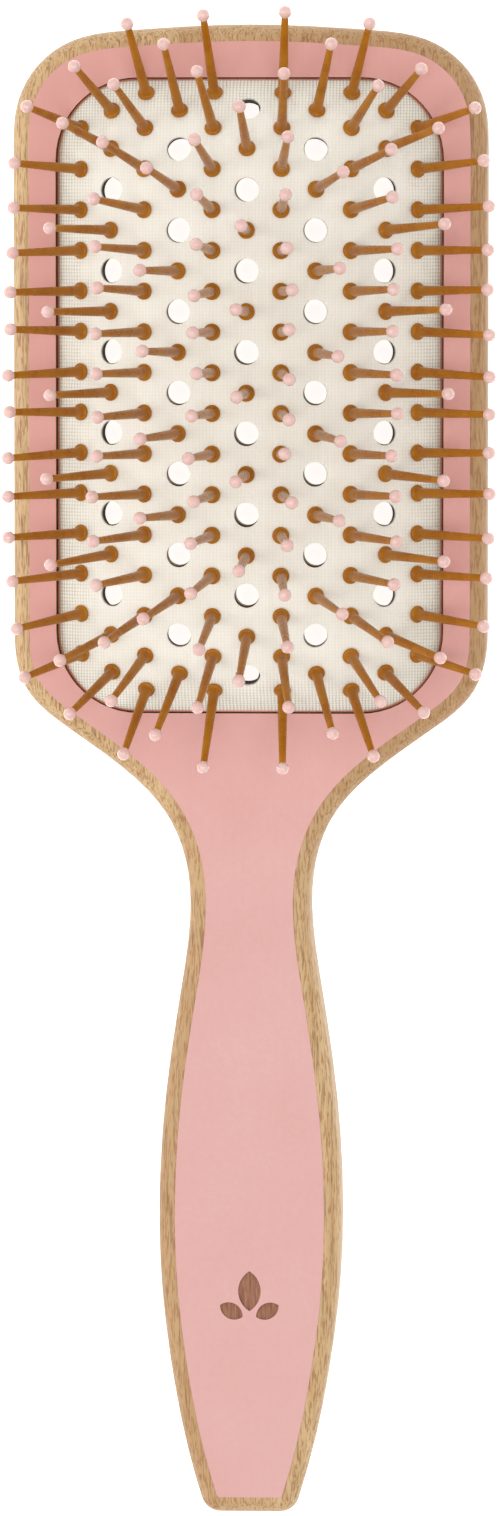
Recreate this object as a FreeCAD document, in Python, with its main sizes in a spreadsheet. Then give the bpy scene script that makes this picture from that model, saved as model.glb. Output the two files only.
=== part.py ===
import FreeCAD, Part
import math
import os
import random
import Sketcher
from FreeCAD import Placement, Rotation, Vector

# Paddle hair brush: a bamboo board with a painted face, an air cushion of woven fabric
# over rubber, and tapered pins with moulded ball tips.
# X runs across the brush, +Y from the handle to the head, +Z out of the face.
# The origin is on the flat back, under the middle of the cushion.

doc = FreeCAD.newDocument("PaddleBrush")
sheet = doc.addObject("Spreadsheet::Sheet", "Sizes")

SIZES = {
    # board
    "board_thickness": 14.0,
    "edge_round": 2.8,
    "head_half_width": 39.75,
    "head_top": 62.05,
    "neck_half_width": 10.1,
    "neck_place": 85.9,
    "grip_half_width": 15.4,
    "grip_place": 137.6,
    "handle_end": 188.85,
    "end_corner": 3.3,
    "coat_thickness": 0.12,
    "engraving_depth": 0.2,
    # opening in the face, groove under its edge, and the air space below
    "opening_half_width": 32.5,
    "opening_half_length": 53.2,
    "opening_corner": 13.8,
    "groove_reach": 1.5,
    "groove_height": 2.2,
    "ledge_height": 8.8,
    "ledge_width": 1.7,
    "floor_thickness": 4.0,
    # cushion
    "rim_height": 11.5,
    "dome_height": 12.3,
    "dome_half_width": 33.6,
    "dome_half_length": 55.4,
    "fabric_thickness": 0.4,
    "rubber_thickness": 1.6,
    "layer_gap": 0.02,
    "edge_gap": 0.35,
    "skirt_thickness": 0.9,
    "fit_gap": 0.15,
    "lip_gap": 0.1,
    "block_height": 40.0,
    # lattice of pins and vents, seen from above
    "pitch_across": 5.71,
    "outer_pitch": 5.2,
    "pitch_along": 6.75,
    "end_pitch": 2.9,
    "lattice_shift": 0.75,
    "vent_radius": 2.05,
    "board_vent_shift_x": -0.9,
    "board_vent_shift_y": -0.3,
    # pins
    "pin_length": 19.0,
    "root_radius": 0.8,
    "point_radius": 0.53,
    "collar_radius": 1.4,
    "collar_gap": 0.28,
    "foot_gap": 0.38,
    "foot_radius": 1.5,
    "foot_thickness": 0.8,
    "hole_clearance": 0.06,
    "spigot_radius": 0.42,
    "ball_radius": 1.08,
    # how the pins stand: splayed a little more than the dome, drifting to +X, and swaying
    "pin_splay": 1.2,
    "pin_drift": 7.5,
    "pin_sway": 2.2,
}

# Shape of the dome: rounder across the brush, flat along it with a roll-off at the ends.
POWER_ACROSS = 2.2
POWER_ALONG = 5.4

# The vents in the board stand a little further apart than those in the cushion.
BOARD_VENTS_SPREAD = 1.01

# The handle's sides lean in by this many degrees where they meet its nearly flat end.
END_SLANT = 17.5
END_FLAT_HALF_WIDTH = 5.05

# The lowest share of the dome's height at which a pin still belongs to each ring.
RING_FLOORS = (0.99, 0.94, 0.85, 0.78, 0.70, 0.60, 0.52, 0.45, 0.35, 0.0)
SWAY_SEED = 7
LEAF_CENTRE = Vector(0.0, -152.5, 0.0)


def fill_sheet():
    for row, (name, value) in enumerate(SIZES.items(), start=1):
        sheet.set(f"A{row}", name)
        sheet.set(f"B{row}", str(value))
        sheet.setAlias(f"B{row}", name)
    doc.recompute()


def size(name):
    return float(getattr(sheet, name))


def bind(thing, prop, formula):
    """Bind a property to a formula over the sheet's aliases, each written as {alias}."""
    cells = {name: f"{sheet.Label}.{name}" for name in SIZES}
    thing.setExpression(prop, formula.format(**cells))


# ---------------------------------------------------------------- sketches


def plane(body, role):
    return next(f for f in body.Origin.OriginFeatures if f.Role == role)


def new_body(name):
    body = doc.addObject("PartDesign::Body", name)
    body.Label = name
    return body


def body_sketch(body, name, role="XY_Plane", height=None):
    """A sketch on one of the body's origin planes, lifted by a formula of the sheet."""
    sketch = body.newObject("Sketcher::SketchObject", name)
    sketch.AttachmentSupport = [(plane(body, role), "")]
    sketch.MapMode = "FlatFace"
    if height:
        bind(sketch, "AttachmentOffset.Base.z", height)
    return sketch


def smooth_curve(points, start, end):
    """A curve through the points that leaves and arrives along the given directions."""
    lengths = [0.0]
    for first, second in zip(points, points[1:]):
        lengths.append(lengths[-1] + first.distanceToPoint(second))
    curve = Part.BSplineCurve()
    curve.interpolate(
        Points=points, Parameters=lengths, InitialTangent=start, FinalTangent=end, Scale=False
    )
    return curve


def mirrored(curve):
    copy = curve.copy()
    copy.mirror(Vector(0, 0, 0), Vector(0, 1, 0))
    return copy


def draw_board_outline(sketch):
    """The head's crowned top and corners, straight sides, then waist, grip and end."""
    half = size("head_half_width")
    top = size("head_top")
    neck = size("neck_half_width")
    neck_y = -size("neck_place")
    grip = size("grip_half_width")
    grip_y = -size("grip_place")
    end = -size("handle_end")
    shoulder = [
        Vector(0, top, 0),
        Vector(20.0, top - 0.9, 0),
        Vector(30.4, top - 2.9, 0),
        Vector(36.7, top - 8.1, 0),
        Vector(half - 0.45, top - 14.1, 0),
        Vector(half, top - 20.5, 0),
    ]
    handle = [
        Vector(half, -40.5, 0),
        Vector(half - 2.1, -49.4, 0),
        Vector(31.0, -55.7, 0),
        Vector(22.0, -62.2, 0),
        Vector(14.1, -70.4, 0),
        Vector(neck + 0.6, -79.0, 0),
        Vector(neck, neck_y, 0),
        Vector(neck + 1.4, neck_y - 12.9, 0),
        Vector(grip - 1.8, neck_y - 26.5, 0),
        Vector(grip, grip_y, 0),
        Vector(grip - 0.55, end + 37.3, 0),
        Vector(grip - 2.6, end + 21.7, 0),
        Vector(grip - 4.3, end + 13.0, 0),
    ]
    across = Vector(1, 0, 0)
    down = Vector(0, -1, 0)
    corner = size("end_corner")
    slant = math.radians(END_SLANT)
    turn = Vector(END_FLAT_HALF_WIDTH, end + corner, 0)
    middle = (math.pi / 2 + slant) / 2
    last = turn - Vector(0, corner, 0)
    entry, halfway = [
        turn + Vector(math.cos(angle), -math.sin(angle), 0) * corner for angle in (slant, middle)
    ]
    handle.append(entry)
    curves = [
        smooth_curve(shoulder, across, down),
        smooth_curve(handle, down, Vector(-math.sin(slant), -math.cos(slant), 0)),
        Part.Arc(entry, halfway, last),
    ]
    for curve in curves:
        sketch.addGeometry(curve)
        sketch.addGeometry(mirrored(curve))
    for side in (-1, 1):
        upper = Vector(side * shoulder[-1].x, shoulder[-1].y, 0)
        lower = Vector(side * handle[0].x, handle[0].y, 0)
        sketch.addGeometry(Part.LineSegment(upper, lower))
    sketch.addGeometry(Part.LineSegment(last, Vector(-last.x, last.y, 0)))


def draw_rounded_rectangle(sketch, half_width, half_length, corner):
    """A rounded rectangle about the origin; the sizes are formulas of the sheet."""
    guess_x, guess_y, guess_r = 30.0, 50.0, 10.0
    right = (guess_x, guess_y - guess_r)
    upper = (guess_x - guess_r, guess_y)
    line = Part.LineSegment
    sides = [
        line(Vector(-upper[0], upper[1], 0), Vector(upper[0], upper[1], 0)),
        line(Vector(right[0], right[1], 0), Vector(right[0], -right[1], 0)),
        line(Vector(upper[0], -upper[1], 0), Vector(-upper[0], -upper[1], 0)),
        line(Vector(-right[0], -right[1], 0), Vector(-right[0], right[1], 0)),
    ]
    for side in sides:
        sketch.addGeometry(side)
    middles = [(1, 1), (1, -1), (-1, -1), (-1, 1)]
    quarter = math.pi / 2
    for number, (way_x, way_y) in enumerate(middles):
        centre = Vector(way_x * upper[0], way_y * right[1], 0)
        circle = Part.Circle(centre, Vector(0, 0, 1), guess_r)
        start = quarter * (4 - number) % (4 * quarter)
        sketch.addGeometry(Part.ArcOfCircle(circle, start, start + quarter))
    add = sketch.addConstraint
    for number in range(4):
        arc = 4 + number
        following = (number + 1) % 4
        add(Sketcher.Constraint("Tangent", number, 2, arc, 2))
        add(Sketcher.Constraint("Tangent", following, 1, arc, 1))
        add(Sketcher.Constraint("Horizontal" if number % 2 == 0 else "Vertical", number))
    for arc in (5, 6, 7):
        add(Sketcher.Constraint("Equal", 4, arc))
    limits = [
        ("right", Sketcher.Constraint("DistanceX", -1, 1, 1, 1, guess_x), half_width),
        ("left", Sketcher.Constraint("DistanceX", 3, 1, -1, 1, guess_x), half_width),
        ("upper", Sketcher.Constraint("DistanceY", -1, 1, 0, 1, guess_y), half_length),
        ("lower", Sketcher.Constraint("DistanceY", 2, 1, -1, 1, guess_y), half_length),
        ("corner", Sketcher.Constraint("Radius", 4, guess_r), corner),
    ]
    for name, constraint, formula in limits:
        index = add(constraint)
        sketch.renameConstraint(index, name)
        bind(sketch, f"Constraints.{name}", formula)


def draw_leaves(sketch):
    """A plain sprig of three leaves, each of two arcs that meet in points."""
    base = LEAF_CENTRE + Vector(0, -3.4, 0)
    leaves = [(90.0, 1.6, 8.4, 1.9), (152.0, 1.3, 5.6, 1.35), (28.0, 1.3, 5.6, 1.35)]
    for turn, start, end, bulge in leaves:
        along = Vector(math.cos(math.radians(turn)), math.sin(math.radians(turn)), 0)
        aside = Vector(-along.y, along.x, 0)
        first = base + along * start
        last = base + along * end
        middle = (first + last) * 0.5
        for way in (1, -1):
            arc = Part.Arc(first, middle + aside * (way * bulge), last)
            sketch.addGeometry(arc)


def draw_circles(sketch, centres, radius):
    for centre in centres:
        sketch.addGeometry(Part.Circle(centre, Vector(0, 0, 1), radius))


# ---------------------------------------------------------------- dome and lattice


def dome(x, y):
    """Height of the cloth above the rim's level, and its slopes along x and y."""
    height = size("dome_height")
    half_x = size("dome_half_width")
    half_y = size("dome_half_length")
    across = 1 - (abs(x) / half_x) ** POWER_ACROSS
    along = 1 - (abs(y) / half_y) ** POWER_ALONG
    fall_x = POWER_ACROSS * (abs(x) / half_x) ** (POWER_ACROSS - 1) / half_x
    fall_y = POWER_ALONG * (abs(y) / half_y) ** (POWER_ALONG - 1) / half_y
    slope_x = -math.copysign(height * fall_x * along, x)
    slope_y = -math.copysign(height * fall_y * across, y)
    return height * across * along, slope_x, slope_y


def cloth_point(x, y):
    height, _, _ = dome(x, y)
    return Vector(x, y, size("rim_height") + height)


def cloth_normal(x, y):
    _, slope_x, slope_y = dome(x, y)
    return Vector(-slope_x, -slope_y, 1).normalize()


def column_place(number):
    """Columns are evenly spaced, apart from the outermost, which stands nearer to its neighbour."""
    inner = min(abs(number), 4) * size("pitch_across")
    outer = max(abs(number) - 4, 0) * size("outer_pitch")
    return math.copysign(inner + outer, number)


def row_place(number):
    """Rows are half a pitch apart, apart from the last two at each end, which stand closer."""
    inner = min(abs(number), 13) / 2 * size("pitch_along")
    outer = max(abs(number) - 13, 0) * size("end_pitch")
    return size("lattice_shift") + math.copysign(inner + outer, number)


def lattice():
    """Pin places and vent places: staggered columns, every other one shared with vents."""
    columns = {i: column_place(i) for i in range(-5, 6)}
    rows = {k: row_place(k) for k in range(-15, 16)}
    pins, vents = [], []
    for i, x in columns.items():
        for k, y in rows.items():
            if i % 2 != k % 2:
                continue
            if i % 2:
                if abs(i) < 5 or abs(k) < 15:
                    pins.append((x, y))
                continue
            odd_place = (i // 2 + k // 2) % 2
            if odd_place and not (abs(i) == 4 and abs(k) == 14):
                vents.append((x, y))
            else:
                pins.append((x, y))
    return pins, vents


def ring_of(x, y):
    """Pins whose roots stand at about the same height on the dome share a ring."""
    height, _, _ = dome(x, y)
    share = height / size("dome_height")
    return 1 + next(number for number, floor in enumerate(RING_FLOORS) if share >= floor)


def pin_placements(pins):
    """A place and a direction for each pin: nearly square to the cloth, with a small sway."""
    random_sway = random.Random(SWAY_SEED)
    reach = math.tan(math.radians(size("pin_sway")))
    drift = math.tan(math.radians(size("pin_drift")))
    placements = []
    for x, y in pins:
        _, slope_x, slope_y = dome(x, y)
        lean_x = -slope_x * size("pin_splay") + drift * (x / size("dome_half_width")) ** 2
        sway_x = random_sway.uniform(-reach, reach)
        sway_y = random_sway.uniform(-reach, reach)
        lean_y = -slope_y * size("pin_splay")
        direction = Vector(lean_x + sway_x, lean_y + sway_y, 1)
        placements.append(Placement(cloth_point(x, y), Rotation(Vector(0, 0, 1), direction)))
    return placements


# ---------------------------------------------------------------- board and coat


def edges_at(shape, height):
    names = []
    for number, edge in enumerate(shape.Edges, start=1):
        if all(abs(vertex.Z - height) < 1e-6 for vertex in edge.Vertexes):
            names.append(f"Edge{number}")
    return names


def pocket(body, sketch, name, depth):
    cut = body.newObject("PartDesign::Pocket", name)
    cut.Profile = sketch
    bind(cut, "Length", depth)
    doc.recompute()
    return cut


def draw_opening(sketch, grow):
    """The opening's outline, grown by a formula of the sheet."""
    draw_rounded_rectangle(
        sketch,
        f"{{opening_half_width}} + {grow}",
        f"{{opening_half_length}} + {grow}",
        f"{{opening_corner}} + {grow}",
    )


def rounded_pocket(body, name, top, depth, grow):
    sketch = body_sketch(body, f"{name}Sketch", height=top)
    draw_opening(sketch, grow)
    return pocket(body, sketch, name, depth)


def make_bamboo_body(vents):
    body = new_body("bamboo_body")
    outline = body_sketch(body, "BoardOutline")
    draw_board_outline(outline)
    board = body.newObject("PartDesign::Pad", "Board")
    board.Profile = outline
    bind(board, "Length", "{board_thickness}")
    doc.recompute()
    rims = edges_at(board.Shape, 0.0) + edges_at(board.Shape, size("board_thickness"))
    rounding = body.newObject("PartDesign::Fillet", "EdgeRound")
    rounding.Base = (board, rims)
    bind(rounding, "Radius", "{edge_round}")
    doc.recompute()
    face = "{board_thickness}"
    groove_top = "{ledge_height} + {groove_height}"
    rounded_pocket(body, "Opening", face, "{board_thickness} - {ledge_height}", "0")
    rounded_pocket(body, "Groove", groove_top, "{groove_height}", "{groove_reach}")
    rounded_pocket(
        body, "AirSpace", face, "{board_thickness} - {floor_thickness}", "-{ledge_width}"
    )
    holes = body_sketch(body, "VentSketch", height="{floor_thickness} + 1")
    shift = Vector(size("board_vent_shift_x"), size("board_vent_shift_y"), 0)
    centres = [Vector(x, y, 0) * BOARD_VENTS_SPREAD + shift for x, y in vents]
    draw_circles(holes, centres, size("vent_radius"))
    pocket(body, holes, "Vents", "{floor_thickness} + 2")
    mark = body_sketch(body, "LeafSketch", height=face)
    draw_leaves(mark)
    pocket(body, mark, "Engraving", "{engraving_depth}")
    return body


def cushion_prism(name, grow, base, length):
    """A block with the opening's outline, grown by a formula of the sheet."""
    sketch = doc.addObject("Sketcher::SketchObject", f"{name}Sketch")
    draw_opening(sketch, grow)
    block = doc.addObject("Part::Extrusion", name)
    block.Base = sketch
    block.DirMode = "Custom"
    block.Dir = Vector(0, 0, 1)
    block.Solid = True
    bind(block, "LengthFwd", length)
    bind(block, "Placement.Base.z", base)
    return block


def finished(name, shape):
    """A sub-part whose shape was worked out above: one clean solid, or a group of them."""
    part = doc.addObject("Part::Feature", name)
    part.Label = name
    solids = shape.Solids
    part.Shape = solids[0] if len(solids) == 1 else Part.Compound(solids)
    part.Placement = Placement()
    return part


def make_face_coat(body):
    """Paint on the flat of the face: it ends at the edge rounding, the opening and the leaves."""
    top = size("board_thickness")
    flats = [face for face in body.Shape.Faces if abs(face.BoundBox.ZMin - top) < 1e-6]
    flat = max(flats, key=lambda face: face.Area)
    return finished("face_coat", flat.extrude(Vector(0, 0, size("coat_thickness"))))


# ---------------------------------------------------------------- cushion


def under_cloth(depth):
    """Everything below the cloth's top face, or below a face this deep inside it."""
    overlap = 1.6
    count_x, count_y = 27, 45
    half_x = size("dome_half_width") + overlap
    half_y = size("dome_half_length") + overlap
    grid = []
    for a in range(count_x):
        x = half_x * (2 * a / (count_x - 1) - 1)
        line = []
        for b in range(count_y):
            y = half_y * math.sin(math.pi * (b / (count_y - 1) - 0.5))
            line.append(cloth_point(x, y) - cloth_normal(x, y) * depth)
        grid.append(line)
    surface = Part.BSplineSurface()
    surface.interpolate(grid)
    return surface.toShape().extrude(Vector(0, 0, -size("block_height")))


def hole_tools(placements, vents):
    """Cylinders for the pin holes and the vents, each along its own axis."""
    start = -6.0
    length = 9.0
    pin_radius = size("root_radius") + size("hole_clearance")
    tools = []
    for placement in placements:
        tool = Part.makeCylinder(pin_radius, length, Vector(0, 0, start))
        tool.Placement = placement
        tools.append(tool)
    for x, y in vents:
        tool = Part.makeCylinder(size("vent_radius"), length, Vector(0, 0, start))
        tool.Placement = Placement(cloth_point(x, y), Rotation(Vector(0, 0, 1), cloth_normal(x, y)))
        tools.append(tool)
    return Part.Compound(tools)


def make_cushion(placements, vents):
    """Woven fabric bonded on a rubber dome, whose lip sits in the board's groove."""
    gap = "-{edge_gap}"
    lift = "{ledge_height} + {lip_gap}"
    outer = cushion_prism("PadBlock", gap, lift, "{block_height}")
    inner = cushion_prism("AirBlock", "-{edge_gap} - {skirt_thickness}", "0", "{block_height}")
    lip = cushion_prism(
        "LipBlock", "{groove_reach} - {fit_gap}", lift, "{groove_height} - 2 * {lip_gap}"
    )
    doc.recompute()
    holes = hole_tools(placements, vents)
    cloth = size("fabric_thickness")
    rubber_top = cloth + size("layer_gap")
    rubber_bottom = rubber_top + size("rubber_thickness")
    fabric = outer.Shape.common(under_cloth(0)).cut(under_cloth(cloth))
    air = inner.Shape.common(under_cloth(rubber_bottom))
    block = outer.Shape.common(under_cloth(rubber_top)).fuse(lip.Shape)
    rubber = block.cut(air)
    return [
        finished("cushion_fabric", fabric.cut(holes)),
        finished("cushion_rubber", rubber.cut(holes)),
    ]


# ---------------------------------------------------------------- pins and ball tips


def draw_profile(sketch, points):
    count = len(points)
    for number in range(count):
        x, y = points[number]
        next_x, next_y = points[(number + 1) % count]
        sketch.addGeometry(Part.LineSegment(Vector(x, y, 0), Vector(next_x, next_y, 0)))


def revolve(body, sketch):
    turned = body.newObject("PartDesign::Revolution", f"{body.Name}Turned")
    turned.Profile = sketch
    turned.ReferenceAxis = (sketch, ["V_Axis"])
    turned.Angle = 360
    doc.recompute()


def shaft_end():
    """Distance from the cloth at which the tapered shaft enters its ball."""
    sunk = math.sqrt(size("ball_radius") ** 2 - size("point_radius") ** 2)
    return size("pin_length") - sunk


def make_pin_pattern():
    """One pin, standing on the cloth at the origin, with its foot under the rubber."""
    body = new_body("PinPattern")
    profile = body_sketch(body, "PinProfile", "XZ_Plane")
    pad = size("fabric_thickness") + size("layer_gap") + size("rubber_thickness")
    foot_top = -pad - size("foot_gap")
    collar = size("collar_radius")
    collar_foot = size("collar_gap")
    points = [
        (0.0, foot_top - size("foot_thickness")),
        (size("foot_radius"), foot_top - size("foot_thickness")),
        (size("foot_radius"), foot_top),
        (size("root_radius"), foot_top),
        (size("root_radius"), collar_foot),
        (collar - 0.15, collar_foot),
        (collar, collar_foot + 0.15),
        (collar, collar_foot + 0.33),
        (collar - 0.25, collar_foot + 0.55),
        (size("root_radius"), collar_foot + 0.98),
        (size("point_radius"), shaft_end()),
        (size("spigot_radius"), shaft_end()),
        (size("spigot_radius"), size("pin_length") + 0.25),
        (0.0, size("pin_length") + 0.25),
    ]
    draw_profile(profile, points)
    revolve(body, profile)
    return body


def make_ball_pattern():
    """The ball on the end of that pin, with a blind hole for the pin's spigot."""
    body = new_body("BallPattern")
    profile = body_sketch(body, "BallProfile", "XZ_Plane")
    centre = Vector(0, size("pin_length"), 0)
    radius = size("ball_radius")
    bore = size("spigot_radius") + 0.01
    bore_end = size("pin_length") + 0.27
    entry = Vector(size("point_radius"), shaft_end(), 0)
    top = centre + Vector(0, radius, 0)
    side = centre + Vector(radius, 0, 0)
    corners = [
        top,
        Vector(0, bore_end, 0),
        Vector(bore, bore_end, 0),
        Vector(bore, shaft_end(), 0),
        entry,
    ]
    for first, second in zip(corners, corners[1:]):
        profile.addGeometry(Part.LineSegment(first, second))
    profile.addGeometry(Part.Arc(entry, side, top))
    revolve(body, profile)
    return body


def make_rings(pins, placements):
    """Pins and balls, ring by ring, from the top of the dome down to its edge."""
    pin = make_pin_pattern().Shape
    ball = make_ball_pattern().Shape
    parts = []
    for ring in range(1, len(RING_FLOORS) + 1):
        chosen = [place for spot, place in zip(pins, placements) if ring_of(*spot) == ring]
        for name, pattern in (("pins", pin), ("ball_tips", ball)):
            copies = [pattern.transformed(place.Matrix, True) for place in chosen]
            parts.append(finished(f"{name}_ring_{ring}", Part.Compound(copies)))
    return parts


# ---------------------------------------------------------------- whole brush


def check(things):
    """Stop if any object failed, or if a sub-part's shape is missing or unsound."""
    for thing in doc.Objects:
        if "Invalid" in thing.State or "Error" in thing.State:
            raise RuntimeError(f"{thing.Name} failed: {thing.State}")
    for thing in things:
        shape = thing.Shape
        if shape.isNull() or not shape.isValid() or not shape.Solids:
            raise RuntimeError(f"{thing.Label} has no sound shape")


def main():
    fill_sheet()
    pins, vents = lattice()
    placements = pin_placements(pins)
    board = make_bamboo_body(vents)
    parts = [board, make_face_coat(board)]
    parts += make_cushion(placements, vents)
    parts += make_rings(pins, placements)
    doc.recompute()
    check(parts)
    os.makedirs("parts", exist_ok=True)
    for part in parts:
        part.Shape.exportStep(f"parts/{part.Label}.step")
        volume = part.Shape.Volume
        print(f"{part.Label}: {len(part.Shape.Solids)} solids, {volume:.1f} cubic mm")
    print(f"{len(pins)} pins, {len(vents)} vents")


main()
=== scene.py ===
import math

import bmesh
import bpy
import numpy as np
from mathutils import Matrix, Vector
from mathutils.geometry import delaunay_2d_cdt
from mathutils.kdtree import KDTree


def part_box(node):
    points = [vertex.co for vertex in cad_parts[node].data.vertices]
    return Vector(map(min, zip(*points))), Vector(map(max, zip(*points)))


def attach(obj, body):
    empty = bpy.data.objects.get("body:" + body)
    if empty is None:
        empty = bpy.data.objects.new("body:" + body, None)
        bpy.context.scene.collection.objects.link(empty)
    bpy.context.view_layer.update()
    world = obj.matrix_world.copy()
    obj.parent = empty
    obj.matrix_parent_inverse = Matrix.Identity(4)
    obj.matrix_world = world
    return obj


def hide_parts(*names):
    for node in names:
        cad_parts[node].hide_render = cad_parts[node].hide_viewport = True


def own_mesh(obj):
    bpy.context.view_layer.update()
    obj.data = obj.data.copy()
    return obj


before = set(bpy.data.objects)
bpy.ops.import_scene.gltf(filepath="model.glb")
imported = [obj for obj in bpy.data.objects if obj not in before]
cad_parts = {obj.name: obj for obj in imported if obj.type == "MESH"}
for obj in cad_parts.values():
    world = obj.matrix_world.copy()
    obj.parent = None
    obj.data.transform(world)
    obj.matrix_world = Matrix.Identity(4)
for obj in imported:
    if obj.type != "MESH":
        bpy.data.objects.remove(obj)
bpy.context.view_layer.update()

MM = 0.001
BRUSH = "brush_body"
RINGS = sorted(int(name.rsplit("_", 1)[1]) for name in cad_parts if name.startswith("pins_ring_"))

# ---------------------------------------------------------------- sizes, in millimetres

board_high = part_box("bamboo_body")[1] / MM
cloth_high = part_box("cushion_fabric")[1] / MM

RIM_HEIGHT = 11.5
DOME_HEIGHT = cloth_high.z - RIM_HEIGHT
DOME_HALF_WIDTH = 33.6
DOME_HALF_LENGTH = 55.4
POWER_ACROSS = 2.2
POWER_ALONG = 5.4

EDGE_SPREAD = 0.32
CLOTH_HALF_WIDTH = cloth_high.x + EDGE_SPREAD
CLOTH_HALF_LENGTH = cloth_high.y + EDGE_SPREAD
CLOTH_CORNER = 13.45 + EDGE_SPREAD
CLOTH_SIZE = (CLOTH_HALF_WIDTH, CLOTH_HALF_LENGTH, CLOTH_CORNER)
CLOTH_THICKNESS = 0.4
RUBBER_THICKNESS = 1.6
LAYER_GAP = 0.02

PITCH_ACROSS = 5.71
PITCH_ALONG = 6.75
LATTICE_SHIFT = 0.75
VENT_RADIUS = 2.05

PIN_LENGTH = 19.0
FOOT_DEPTH = 3.2
FLARE_TOP = 1.6
SHAFT_RADIUS = 0.87
BALL_RADIUS = 1.08

LEAF_PLACE = -152.5
LEAF_REACH = 9.0

PLAN_SEED = 3


# ---------------------------------------------------------------- shaders


class Shader:
    """A material's node tree, with short calls that add a node and return its output."""

    def __init__(self, name, **surface):
        self.material = bpy.data.materials.new(name)
        self.material.use_nodes = True
        self.tree = self.material.node_tree
        self.surface = self.tree.nodes["Principled BSDF"]
        for socket, value in surface.items():
            self.put(self.surface, socket.replace("_", " "), value)

    def put(self, node, socket, value):
        if isinstance(value, bpy.types.NodeSocket):
            self.tree.links.new(value, node.inputs[socket])
        else:
            node.inputs[socket].default_value = value

    def add(self, kind, output=0, inputs=(), **settings):
        node = self.tree.nodes.new(kind)
        for name, value in settings.items():
            setattr(node, name, value)
        for socket, value in dict(inputs).items():
            self.put(node, socket, value)
        return node.outputs[output]

    def place(self):
        """Where a point is in the brush's frame, in millimetres."""
        point = self.add("ShaderNodeTexCoord", "Object")
        return self.vector("MULTIPLY", point, (1000, 1000, 1000))

    def split(self, vector):
        node = self.add("ShaderNodeSeparateXYZ", inputs={"Vector": vector}).node
        return node.outputs[0], node.outputs[1], node.outputs[2]

    def join(self, x, y, z):
        return self.add("ShaderNodeCombineXYZ", inputs={"X": x, "Y": y, "Z": z})

    def vector(self, operation, a, b):
        return self.add("ShaderNodeVectorMath", inputs={0: a, 1: b}, operation=operation)

    def math(self, operation, a, b=0.0, clamp=False):
        return self.add("ShaderNodeMath", inputs={0: a, 1: b}, operation=operation, use_clamp=clamp)

    def noise(self, vector, scale, detail=2.0, roughness=0.5):
        inputs = {"Vector": vector, "Scale": scale, "Detail": detail, "Roughness": roughness}
        return self.add("ShaderNodeTexNoise", "Fac", inputs)

    def fit(self, value, low, high, new_low=0.0, new_high=1.0):
        names = ("Value", "From Min", "From Max", "To Min", "To Max")
        inputs = dict(zip(names, (value, low, high, new_low, new_high)))
        return self.add("ShaderNodeMapRange", inputs=inputs)

    def mix(self, factor, a, b, blend="MIX"):
        node = self.tree.nodes.new("ShaderNodeMix")
        node.data_type = "RGBA"
        node.blend_type = blend
        for number, value in ((0, factor), (6, a), (7, b)):
            self.put(node, number, value)
        return node.outputs[2]

    def bump(self, height, strength, distance):
        inputs = {"Height": height, "Strength": strength, "Distance": distance * MM}
        return self.add("ShaderNodeBump", inputs=inputs)


def srgb(red, green, blue):
    """A colour given as 0 to 255 on the screen, as the linear values a shader takes."""
    def linear(value):
        value /= 255
        return value / 12.92 if value <= 0.04045 else ((value + 0.055) / 1.055) ** 2.4

    return linear(red), linear(green), linear(blue), 1.0


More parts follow.
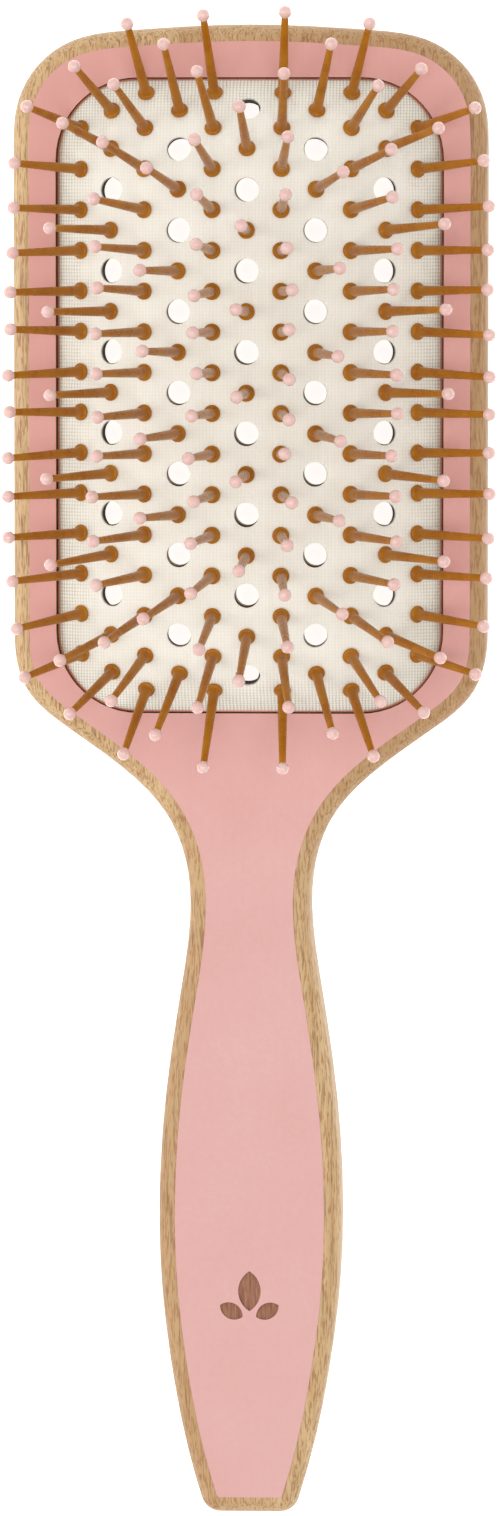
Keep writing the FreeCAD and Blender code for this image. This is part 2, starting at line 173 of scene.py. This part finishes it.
def bamboo_material():
    """Laminated bamboo: fibres along Y, strips of slightly different tone, dark vessel ends."""
    s = Shader("bamboo", Roughness=0.52)
    layer_height = 4.67
    layer_offset = 2.7
    strip_width = 6.4
    x, y, z = s.split(s.place())
    wander = s.noise(s.join(s.math("MULTIPLY", x, 0.05), s.math("MULTIPLY", y, 0.012), z), 1.0, 1.0)
    bend = s.fit(wander, 0.0, 1.0, -0.7, 0.7)
    across = s.math("ADD", x, bend)
    fibres = s.join(across, s.math("MULTIPLY", y, 0.03), z)
    broad = s.noise(fibres, 0.7, 3.0, 0.6)
    dashes = s.join(across, s.math("MULTIPLY", y, 0.1), z)
    fine = s.noise(dashes, 3.6, 2.0, 0.6)
    layer = s.math("FLOOR", s.math("DIVIDE", z, layer_height))
    shifted = s.math("ADD", across, s.math("MULTIPLY", layer, layer_offset))
    strips = s.math("DIVIDE", shifted, strip_width)
    strip = s.math("FLOOR", strips)
    tone = s.add("ShaderNodeTexWhiteNoise", "Value", {"Vector": s.join(strip, layer, 0.0)})
    vessel_place = s.join(across, s.math("MULTIPLY", y, 0.055), z)
    vessels = s.add("ShaderNodeTexVoronoi", "Distance", {"Vector": vessel_place, "Scale": 1.25})
    pores = s.fit(vessels, 0.12, 0.34, 1.0, 0.0)
    seam = s.math("ABSOLUTE", s.math("SUBTRACT", s.math("FRACT", strips), 0.5))
    glue = s.fit(seam, 0.482, 0.5, 0.0, 0.4)
    colour = s.mix(s.fit(broad, 0.32, 0.68), srgb(206, 176, 130), srgb(186, 150, 103))
    colour = s.mix(0.22, colour, s.mix(tone, srgb(208, 178, 134), srgb(160, 120, 74)))
    # painted shade: the bamboo is darkened on the head's right side and on the handle's left side, standing
    # in for the side of the board turned from the light
    turned = s.fit(y, -115, -65, -2.4, 1.0)
    drift = s.math("MULTIPLY", x, turned)
    colour = s.mix(s.fit(drift, -25, 42, 0.0, 0.68), colour, srgb(154, 112, 68))
    colour = s.mix(s.fit(fine, 0.5, 0.6, 0.0, 0.7), colour, srgb(146, 96, 52))
    colour = s.mix(s.math("MULTIPLY", pores, 0.5), colour, srgb(112, 76, 42))
    colour = s.mix(glue, colour, srgb(120, 84, 48))
    # painted shade: the bamboo turns greyer and darker below 13.2 mm, over the lower part of the rounded
    # edge and the sides, standing in for the shade where they turn from the light
    colour = s.mix(s.fit(z, 11.0, 13.2, 0.28, 0.0), colour, srgb(158, 136, 104))
    engraved = s.math("LESS_THAN", s.math("ABSOLUTE", x), LEAF_REACH)
    from_leaf = s.math("ABSOLUTE", s.math("SUBTRACT", y, LEAF_PLACE))
    engraved = s.math("MULTIPLY", engraved, s.math("LESS_THAN", from_leaf, LEAF_REACH))
    engraved = s.math("MULTIPLY", engraved, s.math("GREATER_THAN", z, board_high.z - 0.5))
    scorch = s.mix(s.fit(fine, 0.3, 0.7), srgb(152, 98, 64), srgb(112, 64, 38))
    colour = s.mix(engraved, colour, scorch)
    s.put(s.surface, "Base Color", colour)
    s.put(s.surface, "Roughness", s.fit(fine, 0.3, 0.7, 0.45, 0.62))
    relief = s.math("SUBTRACT", fine, s.math("MULTIPLY", pores, 0.6))
    s.put(s.surface, "Normal", s.bump(relief, 0.35, 0.08))
    return s.material


def paint_material():
    """Satin pink lacquer, with the faint unevenness of a sprayed coat on wood."""
    s = Shader("pink_lacquer", Roughness=0.38)
    point = s.place()
    x, y, z = s.split(point)
    cloudy = s.noise(point, 0.06, 2.0)
    grain = s.noise(s.join(x, s.math("MULTIPLY", y, 0.05), z), 1.4, 2.0)
    peel = s.noise(point, 1.8, 2.0)
    # painted reflection and shade: the head's pink is warmer, with less green and blue, than the handle's,
    # standing in for the pins' brown reflected light and their shade over the head
    handle = s.mix(s.fit(cloudy, 0.3, 0.7), srgb(199, 147, 141), srgb(202, 152, 146))
    head = s.mix(s.fit(cloudy, 0.3, 0.7), srgb(204, 144, 135), srgb(208, 148, 139))
    colour = s.mix(s.fit(y, -85, -35), handle, head)
    colour = s.mix(s.fit(grain, 0.3, 0.7, 0.0, 0.08), colour, srgb(190, 134, 128))
    s.put(s.surface, "Base Color", colour)
    s.put(s.surface, "Roughness", s.fit(peel, 0.3, 0.7, 0.34, 0.44))
    relief = s.math("ADD", s.math("MULTIPLY", peel, 0.5), s.math("MULTIPLY", grain, 0.7))
    s.put(s.surface, "Normal", s.bump(relief, 0.12, 0.05))
    return s.material


def cloth_material():
    """Plain-woven off-white cloth; the threads follow coordinates laid along the cloth."""
    s = Shader("woven_cloth", Roughness=0.9, Sheen_Weight=0.25, Sheen_Roughness=0.5)
    s.put(s.surface, "Specular IOR Level", 0.2)
    threads = s.add("ShaderNodeAttribute", "Vector", attribute_name="cloth")
    u, v, edge = s.split(threads)
    uneven = s.noise(threads, 0.35, 2.0)
    pitch = 0.58
    turn = 2 * math.pi / pitch
    warp = s.math("SINE", s.math("MULTIPLY", s.math("ADD", u, s.math("MULTIPLY", uneven, 0.25)), turn))
    weft = s.math("SINE", s.math("MULTIPLY", s.math("ADD", v, s.math("MULTIPLY", uneven, 0.2)), turn))
    over = s.math("MULTIPLY", warp, weft)
    open_weave = s.fit(s.math("ADD", edge, s.math("MULTIPLY", uneven, -6.0)), -2.5, 4.5, 1.0, 0.16)
    ribs = s.math("ADD", s.math("MULTIPLY", warp, 0.55), s.math("MULTIPLY", weft, 0.42))
    height = s.math("ADD", ribs, s.math("MULTIPLY", over, 0.4))
    slubs = s.noise(s.join(u, s.math("MULTIPLY", v, 0.12), 0.0), 1.6, 2.0)
    # painted shade: the hollows between the threads are darkened to brown, most near the rim where the weave
    # is open
    gap_shade = s.math("MULTIPLY", s.fit(height, 0.2, -0.9), open_weave)
    colour = s.mix(gap_shade, srgb(238, 236, 226), srgb(150, 137, 110))
    colour = s.mix(s.fit(slubs, 0.35, 0.65, 0.0, 0.3), colour, srgb(227, 224, 210))
    # painted shade: the cloth turns reddish brown within 0.6 mm of its rim, standing in for the shaded seam
    # against the wall of the recess
    colour = s.mix(s.fit(edge, 0.25, 0.6, 0.9, 0.0), colour, srgb(206, 118, 84))
    s.put(s.surface, "Base Color", colour)
    relief = s.math("MULTIPLY", height, s.fit(open_weave, 0.16, 1.0, 0.45, 1.0))
    s.put(s.surface, "Normal", s.bump(relief, 0.45, 0.09))
    return s.material


def rubber_material():
    """Matt grey latex, finely speckled, painted darker than its own grey as shade inside the vents."""
    s = Shader("grey_latex", Roughness=0.7)
    speckle = s.noise(s.place(), 2.5, 3.0)
    # painted shade: the latex's grey is about a third of its own brightness, for the shade on the vent walls
    s.put(s.surface, "Base Color", s.mix(s.fit(speckle, 0.3, 0.7), srgb(94, 91, 87), srgb(120, 116, 111)))
    s.put(s.surface, "Normal", s.bump(speckle, 0.2, 0.05))
    return s.material


def pin_material():
    """Caramel nylon, a little uneven along each pin."""
    s = Shader("caramel_nylon", Roughness=0.27, Subsurface_Weight=0.1, Subsurface_Scale=0.0006)
    s.put(s.surface, "Specular IOR Level", 0.2)
    s.put(s.surface, "Subsurface Radius", (1.0, 0.45, 0.12))
    point = s.place()
    drift = s.noise(point, 0.22, 2.0)
    swirl = s.noise(point, 0.8, 1.0)
    colour = s.mix(s.fit(drift, 0.3, 0.7), srgb(158, 94, 5), srgb(172, 112, 20))
    colour = s.mix(s.fit(swirl, 0.35, 0.7, 0.0, 0.1), colour, srgb(118, 68, 8))
    s.put(s.surface, "Base Color", colour)
    s.put(s.surface, "Roughness", s.fit(drift, 0.3, 0.7, 0.24, 0.32))
    s.put(s.surface, "Normal", s.bump(drift, 0.04, 0.04))
    return s.material


def ball_material():
    """Milky pink resin."""
    s = Shader("pink_resin", Roughness=0.09, Subsurface_Weight=0.45, Subsurface_Scale=0.0009)
    s.put(s.surface, "Transmission Weight", 0.3)
    s.put(s.surface, "Subsurface Radius", (1.0, 0.55, 0.5))
    milk = s.noise(s.place(), 0.9, 2.0)
    s.put(s.surface, "Base Color", s.mix(s.fit(milk, 0.3, 0.7), srgb(238, 198, 191), srgb(245, 214, 207)))
    s.put(s.surface, "Roughness", s.fit(milk, 0.3, 0.7, 0.06, 0.13))
    return s.material


# ---------------------------------------------------------------- the dome


def dome(x, y):
    """Height of the cloth's top above the rim, at points given as arrays."""
    across = 1 - (np.abs(x) / DOME_HALF_WIDTH) ** POWER_ACROSS
    along = 1 - (np.abs(y) / DOME_HALF_LENGTH) ** POWER_ALONG
    return DOME_HEIGHT * across * along


def dome_normals(x, y):
    """Directions square to the dome, from its slope over a small step."""
    step = 0.01
    slope_x = (dome(x + step, y) - dome(x - step, y)) / (2 * step)
    slope_y = (dome(x, y + step) - dome(x, y - step)) / (2 * step)
    normals = np.stack([-slope_x, -slope_y, np.ones_like(slope_x)], axis=-1)
    return normals / np.linalg.norm(normals, axis=-1, keepdims=True)


def laid_along(half, count, curve):
    """Distances along the cloth for places out from its middle, as two matching rows."""
    places = np.linspace(0, half, count)
    rise = np.diff(curve(places))
    lengths = np.concatenate([[0], np.cumsum(np.hypot(np.diff(places), rise))])
    return places, lengths


ACROSS = laid_along(34.0, 700, lambda x: dome(x, 0.0 * x))
ALONG = laid_along(56.0, 1100, lambda y: dome(0.0 * y, y))


def cloth_distance(values, table):
    """Signed distance along the cloth, read from a table of places and lengths."""
    return np.sign(values) * np.interp(np.abs(values), *table)


def vent_places():
    """Centres of the vents: every other place of the even columns."""
    places = []
    for column in range(-4, 5, 2):
        for row in range(-7, 8):
            if (column // 2 + row) % 2 and not (abs(column) == 4 and abs(row) == 7):
                places.append((column * PITCH_ACROSS, LATTICE_SHIFT + row * PITCH_ALONG))
    return places


def outline(half_width, half_length, corner, step):
    """Points round a rounded rectangle."""
    points = []
    turns = max(3, round(corner * math.pi / 2 / step))
    middles = [(1, 1, 0), (-1, 1, 90), (-1, -1, 180), (1, -1, 270)]
    for way_x, way_y, start in middles:
        centre = Vector((way_x * (half_width - corner), way_y * (half_length - corner)))
        for number in range(turns + 1):
            angle = math.radians(start + 90 * number / turns)
            points.append(centre + corner * Vector((math.cos(angle), math.sin(angle))))
    filled = []
    for first, second in zip(points, points[1:] + points[:1]):
        pieces = max(1, round((second - first).length / step))
        filled += [first.lerp(second, number / pieces) for number in range(pieces)]
    return filled


def rim_distance(x, y, half_width, half_length, corner):
    """How far a point lies inside a rounded rectangle's outline; negative outside."""
    from_x = np.abs(x) - (half_width - corner)
    from_y = np.abs(y) - (half_length - corner)
    outside = np.hypot(np.maximum(from_x, 0), np.maximum(from_y, 0))
    return corner - outside - np.minimum(np.maximum(from_x, from_y), 0)


def vent_outline(centre, count=36):
    """A vent's edge seen from above: a circle square to the dome, so it is narrower on a slope."""
    x, y = centre
    normal = Vector(dome_normals(np.array([x]), np.array([y]))[0])
    side = Vector((1, 0, 0)).cross(normal).normalized()
    other = normal.cross(side)
    points = []
    for number in range(count):
        angle = 2 * math.pi * number / count
        offset = (math.cos(angle) * other + math.sin(angle) * side) * VENT_RADIUS
        points.append(Vector((x + offset.x, y + offset.y)))
    return points


def layer_plan(half_width, half_length, corner, step, seed):
    """Triangles that fill the cushion's outline round the vents, as points and faces."""
    vents = vent_places()
    loops = [outline(half_width, half_length, corner, step)]
    loops += [vent_outline(vent) for vent in vents]
    points, edges = [], []
    for loop in loops:
        first = len(points)
        points += loop
        count = len(loop)
        edges += [(first + a, first + (a + 1) % count) for a in range(count)]
    shake = np.random.default_rng(seed)
    for x in np.arange(-half_width + step, half_width, step):
        for y in np.arange(-half_length + step, half_length, step):
            dx, dy = shake.uniform(-0.12, 0.12, 2) * step
            inside = rim_distance(x + dx, y + dy, half_width, half_length, corner) > 0.45 * step
            near = min(math.hypot(x + dx - a, y + dy - b) for a, b in vents)
            if inside and near > VENT_RADIUS + 0.35 * step:
                points.append(Vector((x + dx, y + dy)))
    made = delaunay_2d_cdt(points, edges, [], 0, 1e-5)
    places = np.array([tuple(point) for point in made[0]])
    faces = []
    for face in made[2]:
        x, y = places[list(face)].mean(axis=0)
        inside = rim_distance(x, y, half_width, half_length, corner) > 0
        near = [vent for vent in vents if math.hypot(x - vent[0], y - vent[1]) < VENT_RADIUS + 1]
        if inside and not any(inside_loop(x, y, vent_outline(vent)) for vent in near):
            faces.append(tuple(face))
    return places, faces


def inside_loop(x, y, loop):
    """Whether a point lies inside a closed loop, by counting the edges to its right."""
    crossings = 0
    for a, b in zip(loop, loop[1:] + loop[:1]):
        if (a.y > y) != (b.y > y) and x < a.x + (y - a.y) / (b.y - a.y) * (b.x - a.x):
            crossings += 1
    return crossings % 2 == 1


def solid_sheet(name, places, faces, top, bottom):
    """A closed sheet between two sets of points over the same plan."""
    count = len(places)
    edges = {}
    for face in faces:
        for a, b in zip(face, face[1:] + face[:1]):
            edges[(a, b)] = True
    walls = [(b, a, a + count, b + count) for a, b in edges if (b, a) not in edges]
    under = [tuple(v + count for v in reversed(face)) for face in faces]
    mesh = bpy.data.meshes.new(name)
    points = np.concatenate([top, bottom]) * MM
    mesh.from_pydata(points.tolist(), [], faces + under + walls)
    mesh.validate()
    mesh.update()
    piece = bpy.data.objects.new(name, mesh)
    bpy.context.scene.collection.objects.link(piece)
    return piece


def drop_loose(piece):
    """Removes points that no face uses and turns every face outward."""
    bm = bmesh.new()
    bm.from_mesh(piece.data)
    loose = [vertex for vertex in bm.verts if not vertex.link_faces]
    bmesh.ops.delete(bm, geom=loose, context="VERTS")
    bmesh.ops.recalc_face_normals(bm, faces=bm.faces)
    bm.to_mesh(piece.data)
    bm.free()


def smooth(piece, degrees=40):
    piece.data.shade_smooth()
    piece.data.set_sharp_from_angle(angle=math.radians(degrees))


# ---------------------------------------------------------------- pins and balls


def islands(node):
    """The separate solids of a CAD node, each as an array of points in millimetres."""
    bm = bmesh.new()
    bm.from_mesh(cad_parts[node].data)
    bmesh.ops.remove_doubles(bm, verts=bm.verts, dist=1e-7)
    left = set(bm.verts)
    groups = []
    while left:
        stack = [left.pop()]
        group = []
        while stack:
            vertex = stack.pop()
            group.append(tuple(vertex.co / MM))
            for edge in vertex.link_edges:
                other = edge.other_vert(vertex)
                if other in left:
                    left.remove(other)
                    stack.append(other)
        groups.append(np.array(group))
    bm.free()
    return sorted(groups, key=lambda group: tuple(np.round(group.mean(axis=0), 2)))


def pin_lines(node):
    """Each pin's place on the cloth and its direction, read from its CAD solid."""
    lines = []
    for points in islands(node):
        middle = points.mean(axis=0)
        axis = np.linalg.svd(points - middle)[2][0]
        axis *= np.sign(axis[2])
        reach = (points - middle) @ axis
        foot = points[reach < reach.min() + 0.05].mean(axis=0)
        tip = points[reach > reach.max() - 0.05].mean(axis=0)
        axis = (tip - foot) / np.linalg.norm(tip - foot)
        lines.append((Vector(foot + axis * FOOT_DEPTH), Vector(axis)))
    return lines


def lathe(bm, profile, root, axis, sides):
    """A closed turned form: the profile is a list of radius and distance along the axis."""
    turn = axis.to_track_quat("Z", "Y")
    rings = []
    for radius, along in profile:
        ring = []
        for number in range(sides if radius else 1):
            angle = 2 * math.pi * number / sides
            local = Vector((radius * math.cos(angle), radius * math.sin(angle), along))
            ring.append(bm.verts.new((root + turn @ local) * MM))
        rings.append(ring)
    for lower, upper in zip(rings, rings[1:]):
        for number in range(sides):
            following = (number + 1) % sides
            corners = [lower[number % len(lower)], lower[following % len(lower)]]
            corners += [upper[following % len(upper)], upper[number % len(upper)]]
            bm.faces.new(list(dict.fromkeys(corners)))


def arc_profile(centre, radius, start, end, count):
    angles = np.radians(np.linspace(start, end, count))
    return [(centre[0] + radius * math.cos(a), centre[1] + radius * math.sin(a)) for a in angles]


def pin_profile():
    """Foot, neck, rounded collar, flare, and a shaft that tapers into its ball."""
    foot = [(0, -FOOT_DEPTH), (1.3, -FOOT_DEPTH), (1.48, -3.08), (1.5, -2.73), (1.4, -2.45), (0.8, -2.4)]
    collar = [(0.8, 0.04), (1.2, 0.03)]
    collar += arc_profile((1.16, 0.31), 0.28, -80, 80, 8)
    flare = [(1.04, 0.68), (0.97, 0.9), (0.91, 1.2), (SHAFT_RADIUS, FLARE_TOP)]
    lengths = np.linspace(2.4, PIN_LENGTH - 0.6, 12)
    taper = 0.31
    taper_length = 16.4
    shaft = [(SHAFT_RADIUS - taper * (s - FLARE_TOP) / taper_length, s) for s in lengths]
    return foot + collar + flare + shaft + [(0.4, PIN_LENGTH - 0.4), (0, PIN_LENGTH - 0.38)]


def ball_profile():
    """A ball, a little longer than wide."""
    angles = np.radians(np.linspace(-90, 90, 19))
    ball = [
        (BALL_RADIUS * 0.99 * math.cos(a), PIN_LENGTH + BALL_RADIUS * math.sin(a)) for a in angles
    ]
    ball[0] = (0, ball[0][1])
    ball[-1] = (0, ball[-1][1])
    return ball


def turned_piece(name, profile, lines, material, sides):
    """One mesh with the profile turned about each line."""
    bm = bmesh.new()
    for root, axis in lines:
        lathe(bm, profile, root, axis, sides)
    bmesh.ops.recalc_face_normals(bm, faces=bm.faces)
    mesh = bpy.data.meshes.new(name)
    bm.to_mesh(mesh)
    bm.free()
    mesh.materials.append(material)
    piece = bpy.data.objects.new(name, mesh)
    bpy.context.scene.collection.objects.link(piece)
    smooth(piece, 50)
    return piece


def make_pins():
    """One piece of pins and one of balls for each ring; returns every pin's root."""
    nylon, resin = pin_material(), ball_material()
    roots = []
    for ring in RINGS:
        lines = pin_lines(f"pins_ring_{ring}")
        roots += [root for root, _ in lines]
        pins = turned_piece(f"nylon_pins_{ring}", pin_profile(), lines, nylon, 20)
        balls = turned_piece(f"resin_balls_{ring}", ball_profile(), lines, resin, 24)
        for piece, node, slot in ((pins, "pins_ring", "pin_nylon"), (balls, "ball_tips_ring", "ball_tip")):
            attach(piece, f"pin_ring_{ring}")
            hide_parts(f"{node}_{ring}")
    return roots


# ---------------------------------------------------------------- cushion


def nearest(points, places):
    """Distance from each place to the closest of the points."""
    tree = KDTree(len(points))
    for number, (x, y) in enumerate(points):
        tree.insert((x, y, 0), number)
    tree.balance()
    return np.array([tree.find((x, y, 0))[2] for x, y in places])


def cushion_surface(places, roots):
    """Top of the cloth: it puffs a little between the pins and rolls in at its edges."""
    x, y = places[:, 0], places[:, 1]
    normals = dome_normals(x, y)
    base = np.stack([x, y, RIM_HEIGHT + dome(x, y)], axis=-1)
    to_pin = nearest([(root.x, root.y) for root in roots], places)
    to_rim = rim_distance(x, y, *CLOTH_SIZE)
    to_vent = nearest(vent_places(), places) - VENT_RADIUS
    in_from_rim = np.maximum(to_rim, 0)
    out_from_vent = np.maximum(to_vent, 0)
    puff = 0.26 * (1 - np.exp(-((to_pin / 2.3) ** 2)))
    calm = (1 - np.exp(-in_from_rim / 1.5)) * (1 - 0.6 * np.exp(-out_from_vent / 0.8))
    roll = 0.25 * np.exp(-in_from_rim / 0.45) + 0.14 * np.exp(-out_from_vent / 0.2)
    return base + normals * (puff * calm - roll)[:, None], normals


def vent_flare(places):
    """The rubber's vents widen towards the back: how far each point of its underside moves out."""
    vents = np.array(vent_places())
    away = places[:, None, :] - vents[None, :, :]
    distance = np.linalg.norm(away, axis=-1)
    closest = distance.argmin(axis=1)
    rows = np.arange(len(places))
    outward = away[rows, closest] / distance[rows, closest][:, None]
    reach = 0.4 * np.exp(-np.maximum(distance[rows, closest] - VENT_RADIUS, 0) / 1.2)
    return outward * reach[:, None]


def cushion_piece(name, node, material, places, faces, top, bottom):
    """One layer of the cushion, with its distances along the cloth stored for the weave."""
    piece = solid_sheet(name, places, faces, top, bottom)
    x, y = places.T
    threads = np.stack(
        [cloth_distance(x, ACROSS), cloth_distance(y, ALONG), rim_distance(x, y, *CLOTH_SIZE)],
        axis=-1,
    )
    layer = piece.data.attributes.new("cloth", "FLOAT_VECTOR", "POINT")
    layer.data.foreach_set("vector", np.concatenate([threads, threads]).astype(np.float32).ravel())
    drop_loose(piece)
    smooth(piece, 55)
    piece.data.materials.append(material)
    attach(piece, BRUSH)
    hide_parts(node)
    return piece


def make_cushion(roots):
    step = 0.8
    places, faces = layer_plan(*CLOTH_SIZE, step, PLAN_SEED)
    top, normals = cushion_surface(places, roots)
    under = top - normals * CLOTH_THICKNESS
    cloth = cushion_piece(
        "cushion_cloth", "cushion_fabric", cloth_material(), places, faces, top, under
    )
    rubber_top = under - normals * LAYER_GAP
    rubber_bottom = rubber_top - normals * RUBBER_THICKNESS
    rubber_bottom[:, :2] += vent_flare(places)
    rubber = cushion_piece(
        "cushion_latex", "cushion_rubber", rubber_material(),
        places, faces, rubber_top, rubber_bottom,
    )
    for piece in (cloth, rubber):
        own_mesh(piece)


# ---------------------------------------------------------------- board


def dress(node, material):
    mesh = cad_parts[node].data
    mesh.materials.clear()
    mesh.materials.append(material)


# ---------------------------------------------------------------- stage


def floor_material():
    s = Shader("pale_floor", Roughness=0.9)
    mottle = s.noise(s.place(), 0.004, 2.0)
    s.put(s.surface, "Base Color", s.mix(s.fit(mottle, 0.3, 0.7), (0.8, 0.8, 0.8, 1), (0.84, 0.84, 0.84, 1)))
    s.put(s.surface, "Emission Color", (1, 1, 1, 1))
    s.put(s.surface, "Emission Strength", 0.86)
    return s.material


def make_floor():
    mesh = bpy.data.meshes.new("floor")
    reach = 1.6
    height = -0.0004
    ways = [(-1, -1), (1, -1), (1, 1), (-1, 1)]
    corners = [(reach * x, reach * y, height) for x, y in ways]
    mesh.from_pydata(corners, [], [(0, 1, 2, 3)])
    mesh.materials.append(floor_material())
    floor = bpy.data.objects.new("floor", mesh)
    bpy.context.scene.collection.objects.link(floor)


def area_light(name, place, aim, size, power):
    light = bpy.data.lights.new(name, "AREA")
    light.shape = "RECTANGLE"
    light.size, light.size_y = size
    light.energy = power
    lamp = bpy.data.objects.new(name, light)
    lamp.location = place
    lamp.rotation_euler = (Vector(aim) - Vector(place)).to_track_quat("-Z", "Y").to_euler()
    bpy.context.scene.collection.objects.link(lamp)


def make_light():
    world = bpy.data.worlds.new("studio")
    world.use_nodes = True
    backdrop = world.node_tree.nodes["Background"]
    backdrop.inputs["Color"].default_value = (1.0, 1.0, 1.0, 1.0)
    backdrop.inputs["Strength"].default_value = 0.78
    bpy.context.scene.world = world
    head = (0, 0, 0.02)
    area_light("softbox_left", (-0.85, -0.05, 0.9), head, (0.6, 0.9), 4.2)
    area_light("softbox_top", (0.1, -0.15, 1.35), head, (1.0, 0.6), 6.4)
    bpy.context.scene.view_settings.view_transform = "Standard"


def make_camera():
    """Almost square above the brush, tilted a little to its right and towards its head."""
    frame_height = 254.6 * MM
    distance = 1.3
    tilt_across, tilt_along = math.radians(3.0), math.radians(4.1)
    aim = Vector((0.1, -60.7, board_high.z)) * MM
    back = Vector((math.tan(tilt_across), math.tan(tilt_along), 1)).normalized()
    data = bpy.data.cameras.new("camera")
    data.sensor_width = 36.0
    data.lens = data.sensor_width * distance / frame_height
    data.clip_start, data.clip_end = 0.01, 20.0
    camera = bpy.data.objects.new("camera", data)
    side = Vector((0, 1, 0)).cross(back).normalized()
    turn = Matrix((side, back.cross(side), back)).transposed()
    camera.rotation_euler = turn.to_euler()
    camera.location = aim + back * distance
    bpy.context.scene.collection.objects.link(camera)
    bpy.context.scene.camera = camera


def main():
    make_camera()
    make_light()
    make_floor()
    dress("bamboo_body", bamboo_material())
    dress("face_coat", paint_material())
    roots = make_pins()
    make_cushion(roots)


main()
